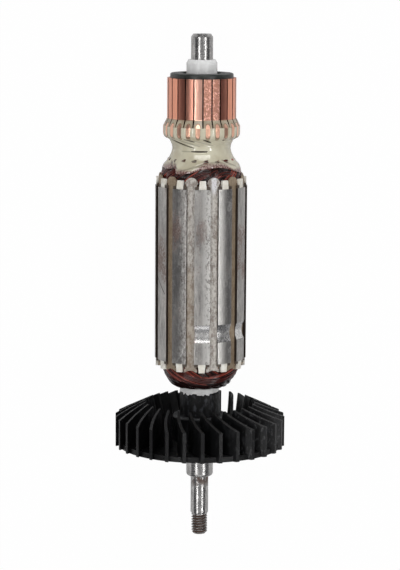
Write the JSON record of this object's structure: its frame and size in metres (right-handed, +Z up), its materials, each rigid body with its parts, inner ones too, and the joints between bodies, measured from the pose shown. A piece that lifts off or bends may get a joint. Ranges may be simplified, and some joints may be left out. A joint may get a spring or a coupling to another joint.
{
  "type": "motor armature",
  "caption": "Wound armature of a small universal motor: slotted core on a shaft with fan, commutator, two bearing journals and a threaded pinion seat.",
  "frame": {"origin": "centre of the bounding box on the surface that the armature rests on", "axes": "+X along the shaft towards the commutator, as seen from above; +Z up; the shaft leans down towards the commutator by about 8.5 degrees, because the armature rests on two blades of its fan and on a bar of its commutator"},
  "size_m": [0.1864, 0.0634, 0.0641],
  "materials": {
    "shaft_steel": "ground and brushed steel, with rust in the thread and at the pinion seat",
    "fan_plastic": "black moulded plastic with dust in the corners",
    "white_insulation": "white moulded plastic",
    "core_steel": "turned lamination stack, stained brown, with a bright balance cut",
    "end_plate": "cream insulating plate",
    "coil_enamel": "enamelled copper wire, packed",
    "resin": "cream resin over the leads",
    "moulding": "dark phenolic moulding",
    "slot_liner": "brown insulating sheet, varnished",
    "slot_wedge": "mottled brown and beige strip, varnished",
    "bar_copper": "copper, worn and scored by the brushes"
  },
  "bodies": {
    "root": {"shaft": "shaft_steel", "fan": "fan_plastic", "shaft_insulator": "white_insulation", "core": "core_steel", "end_insulator_fan_end": "end_plate", "end_insulator_commutator_end": "end_plate", "slot_coils": "coil_enamel", "winding_head_fan_end": "coil_enamel", "winding_head_commutator_end": "coil_enamel", "lead_resin": "resin", "commutator_moulding": "moulding", "commutator_collar": "white_insulation", "slot_liner_01": "slot_liner", "slot_liner_02": "slot_liner", "slot_liner_03": "slot_liner", "slot_liner_04": "slot_liner", "slot_liner_05": "slot_liner", "slot_liner_06": "slot_liner", "slot_liner_07": "slot_liner", "slot_liner_08": "slot_liner", "slot_liner_09": "slot_liner", "slot_liner_10": "slot_liner", "slot_liner_11": "slot_liner", "slot_liner_12": "slot_liner", "slot_wedge_01": "slot_wedge", "slot_wedge_02": "slot_wedge", "slot_wedge_03": "slot_wedge", "slot_wedge_04": "slot_wedge", "slot_wedge_05": "slot_wedge", "slot_wedge_06": "slot_wedge", "slot_wedge_07": "slot_wedge", "slot_wedge_08": "slot_wedge", "slot_wedge_09": "slot_wedge", "slot_wedge_10": "slot_wedge", "slot_wedge_11": "slot_wedge", "slot_wedge_12": "slot_wedge", "commutator_bar_01": "bar_copper", "commutator_bar_02": "bar_copper", "commutator_bar_03": "bar_copper", "commutator_bar_04": "bar_copper", "commutator_bar_05": "bar_copper", "commutator_bar_06": "bar_copper", "commutator_bar_07": "bar_copper", "commutator_bar_08": "bar_copper", "commutator_bar_09": "bar_copper", "commutator_bar_10": "bar_copper", "commutator_bar_11": "bar_copper", "commutator_bar_12": "bar_copper", "commutator_bar_13": "bar_copper", "commutator_bar_14": "bar_copper", "commutator_bar_15": "bar_copper", "commutator_bar_16": "bar_copper", "commutator_bar_17": "bar_copper", "commutator_bar_18": "bar_copper", "commutator_bar_19": "bar_copper", "commutator_bar_20": "bar_copper", "commutator_bar_21": "bar_copper", "commutator_bar_22": "bar_copper", "commutator_bar_23": "bar_copper", "commutator_bar_24": "bar_copper"}
  },
  "joints": []
}
